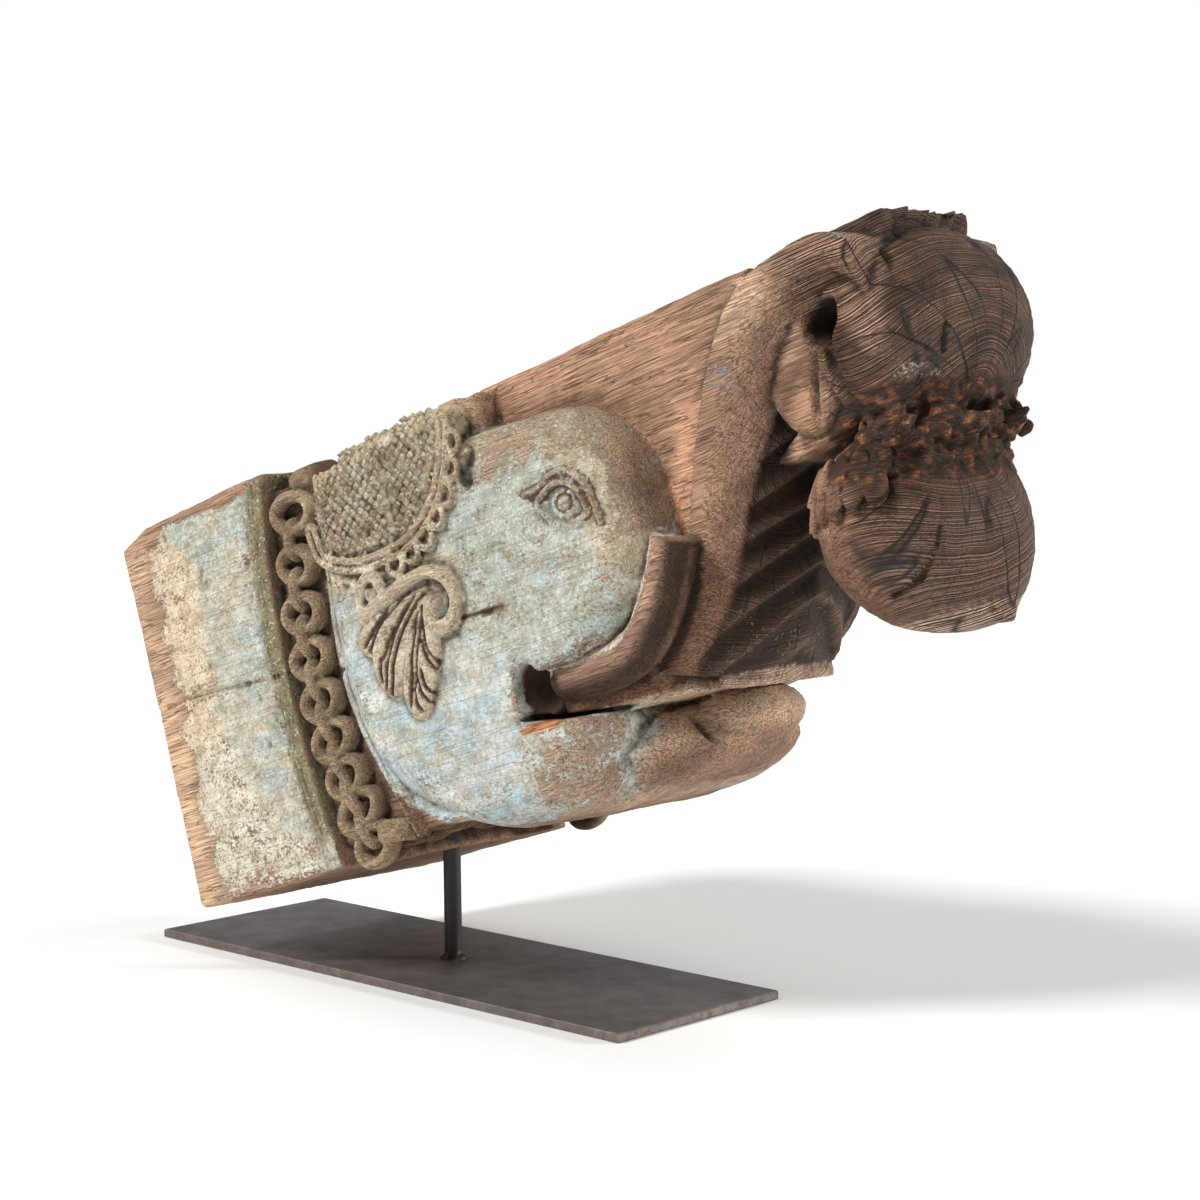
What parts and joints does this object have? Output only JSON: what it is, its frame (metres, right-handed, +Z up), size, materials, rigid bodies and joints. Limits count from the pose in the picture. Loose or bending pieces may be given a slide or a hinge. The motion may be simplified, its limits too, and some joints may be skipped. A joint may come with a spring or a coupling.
{
  "type": "elephant corbel",
  "caption": "Weathered timber corbel carved as an elephant's head with a raised curled trunk, a bud and a chain collar, tilted on a steel rod and flat plate.",
  "frame": {"origin": "centre of the stand plate's underside, on the axis of the rod", "axes": "+X along the plate, from the timber's sawn end towards its raised trunk; +Y to the elephant's left; +Z up"},
  "size_m": [0.6854, 0.229, 0.491],
  "materials": {
    "old_teak": "dry weathered teak with worn pale blue and cream paint",
    "dark_steel": "dark hot-rolled steel, rusty at its edges"
  },
  "bodies": {
    "root": {"carved_corbel": "old_teak", "stand_rod": "dark_steel", "stand_plate": "dark_steel"}
  },
  "joints": []
}
